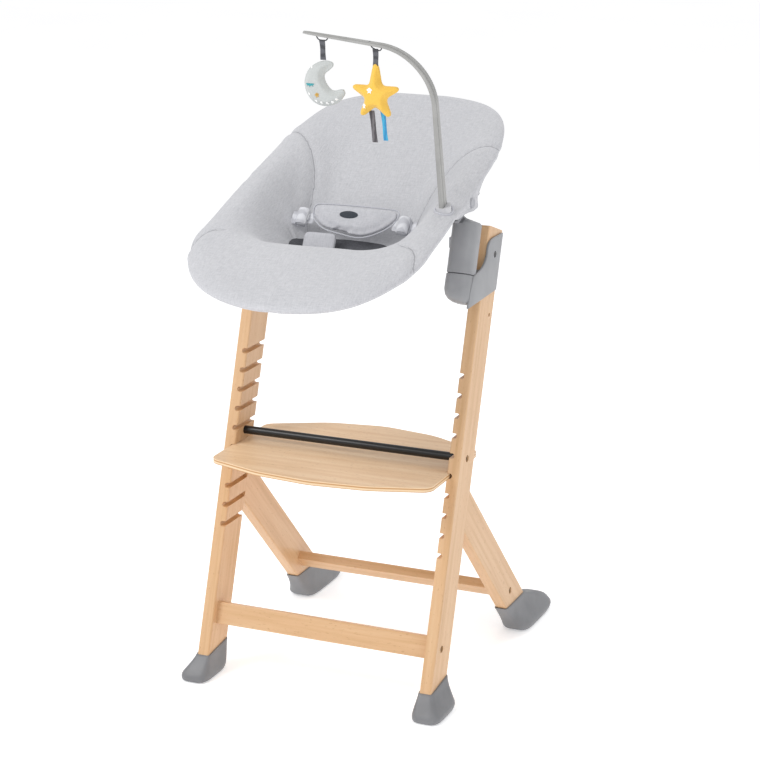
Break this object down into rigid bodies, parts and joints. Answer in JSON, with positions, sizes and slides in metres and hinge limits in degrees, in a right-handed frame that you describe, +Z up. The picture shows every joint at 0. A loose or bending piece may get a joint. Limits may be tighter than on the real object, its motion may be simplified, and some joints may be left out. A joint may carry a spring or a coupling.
{
  "type": "bouncer seat on high chair frame",
  "caption": "Padded reclining baby bouncer with a toy bar, plugged into sockets on a leaning wooden high chair frame with a sliding plywood plate.",
  "frame": {"origin": "on the floor, in the middle of the overall footprint", "axes": "+X to the sitter's left, +Y from feet to head, +Z up"},
  "size_m": [0.506, 0.728, 1.1716],
  "materials": {
    "beech": "satin lacquer",
    "plywood": "satin lacquer",
    "shoe_plastic": "moulded",
    "pad_rubber": "matt",
    "bracket_plastic": "moulded",
    "black_steel": "black",
    "zinc_steel": "zinc",
    "hub_plastic": "moulded",
    "ring_aluminium": "drawn tube",
    "cover_fabric": "melange weave",
    "lining_fabric": "plain weave",
    "webbing": "woven tape",
    "buckle_plastic": "moulded",
    "bar_plastic": "moulded",
    "hook_wire": "wire",
    "moon_fabric": "jersey",
    "star_fabric": "jersey",
    "toy_tape": "tape",
    "ribbon": "satin ribbon"
  },
  "bodies": {
    "chair": {"brace_bolts": "black_steel", "brace_rod": "black_steel", "bracket_bolts": "black_steel", "bracket_left": "bracket_plastic", "bracket_nuts": "zinc_steel", "bracket_right": "bracket_plastic", "crossbar_bolts": "black_steel", "foot_pads": "pad_rubber", "front_crossbar": "beech", "front_leg_left": "beech", "front_leg_right": "beech", "rear_crossbar": "beech", "rear_leg_left": "beech", "rear_leg_right": "beech", "shoe_front_left": "shoe_plastic", "shoe_front_right": "shoe_plastic", "shoe_rear_left": "shoe_plastic", "shoe_rear_right": "shoe_plastic"},
    "seat_plate": {"seat_plate": "plywood"},
    "carrier": {"post_left": "bracket_plastic", "post_right": "bracket_plastic", "pivot_pins": "zinc_steel", "recline_rings": "hub_plastic"},
    "release_button_left": {"release_button_left": "hub_plastic"},
    "release_button_right": {"release_button_right": "hub_plastic"},
    "recline_button_left": {"recline_button_left": "hub_plastic"},
    "recline_button_right": {"recline_button_right": "hub_plastic"},
    "toy_bar": {"toy_bar": "bar_plastic", "toy_hooks": "hook_wire"},
    "moon": {"moon_strap": "toy_tape", "moon": "moon_fabric"},
    "star": {"star_strap": "toy_tape", "star": "star_fabric", "star_ribbons": "ribbon"},
    "seat": {"ring_tube_front": "ring_aluminium", "ring_tube_rear": "ring_aluminium", "hub_inner_left": "hub_plastic", "hub_inner_right": "hub_plastic", "hub_outer_left": "hub_plastic", "hub_outer_right": "hub_plastic", "hub_screws": "zinc_steel", "seat_cover": "cover_fabric", "waist_pad": "cover_fabric", "crotch_pad": "lining_fabric", "waist_strap_left": "webbing", "waist_strap_right": "webbing", "buckle_left": "buckle_plastic", "buckle_right": "buckle_plastic", "tongue_left": "buckle_plastic", "tongue_right": "buckle_plastic", "toy_bar_socket": "bar_plastic"}
  },
  "joints": [
    {"name": "plate_slide", "type": "slide", "parent": "chair", "child": "seat_plate", "axis": [0, 1, 0], "range_m": [-0.05, 0.04]},
    {"name": "seat_lift", "type": "slide", "parent": "chair", "child": "carrier", "axis": [0, 0.3166, 0.9485], "range_m": [0, 0.06]},
    {"name": "release_press_left", "type": "slide", "parent": "carrier", "child": "release_button_left", "axis": [-1, 0, 0], "range_m": [0, 0.003], "stiffness_N_per_m": 400, "springref_m": -0.002},
    {"name": "release_press_right", "type": "slide", "parent": "carrier", "child": "release_button_right", "axis": [1, 0, 0], "range_m": [0, 0.003], "stiffness_N_per_m": 400, "springref_m": -0.002},
    {"name": "seat_recline", "type": "hinge", "parent": "carrier", "child": "seat", "pos_m": [0, -0.012, 0.868], "axis": [1, 0, 0], "range_deg": [-12, 10]},
    {"name": "recline_press_left", "type": "slide", "parent": "seat", "child": "recline_button_left", "axis": [1, 0, 0], "range_m": [0, 0.0025], "stiffness_N_per_m": 400, "springref_m": -0.002},
    {"name": "recline_press_right", "type": "slide", "parent": "seat", "child": "recline_button_right", "axis": [-1, 0, 0], "range_m": [0, 0.0025], "stiffness_N_per_m": 400, "springref_m": -0.002},
    {"name": "toy_bar_pull", "type": "slide", "parent": "seat", "child": "toy_bar", "axis": [0.0464, -0.3137, 0.9484], "range_m": [0, 0.03]},
    {"name": "moon_swing", "type": "hinge", "parent": "toy_bar", "child": "moon", "pos_m": [0.012, -0.18213, 1.14492], "axis": [1, 0, 0], "range_deg": [-40, 40]},
    {"name": "star_swing", "type": "hinge", "parent": "toy_bar", "child": "star", "pos_m": [0.106, -0.17866, 1.13443], "axis": [1, 0, 0], "range_deg": [-40, 40]}
  ]
}
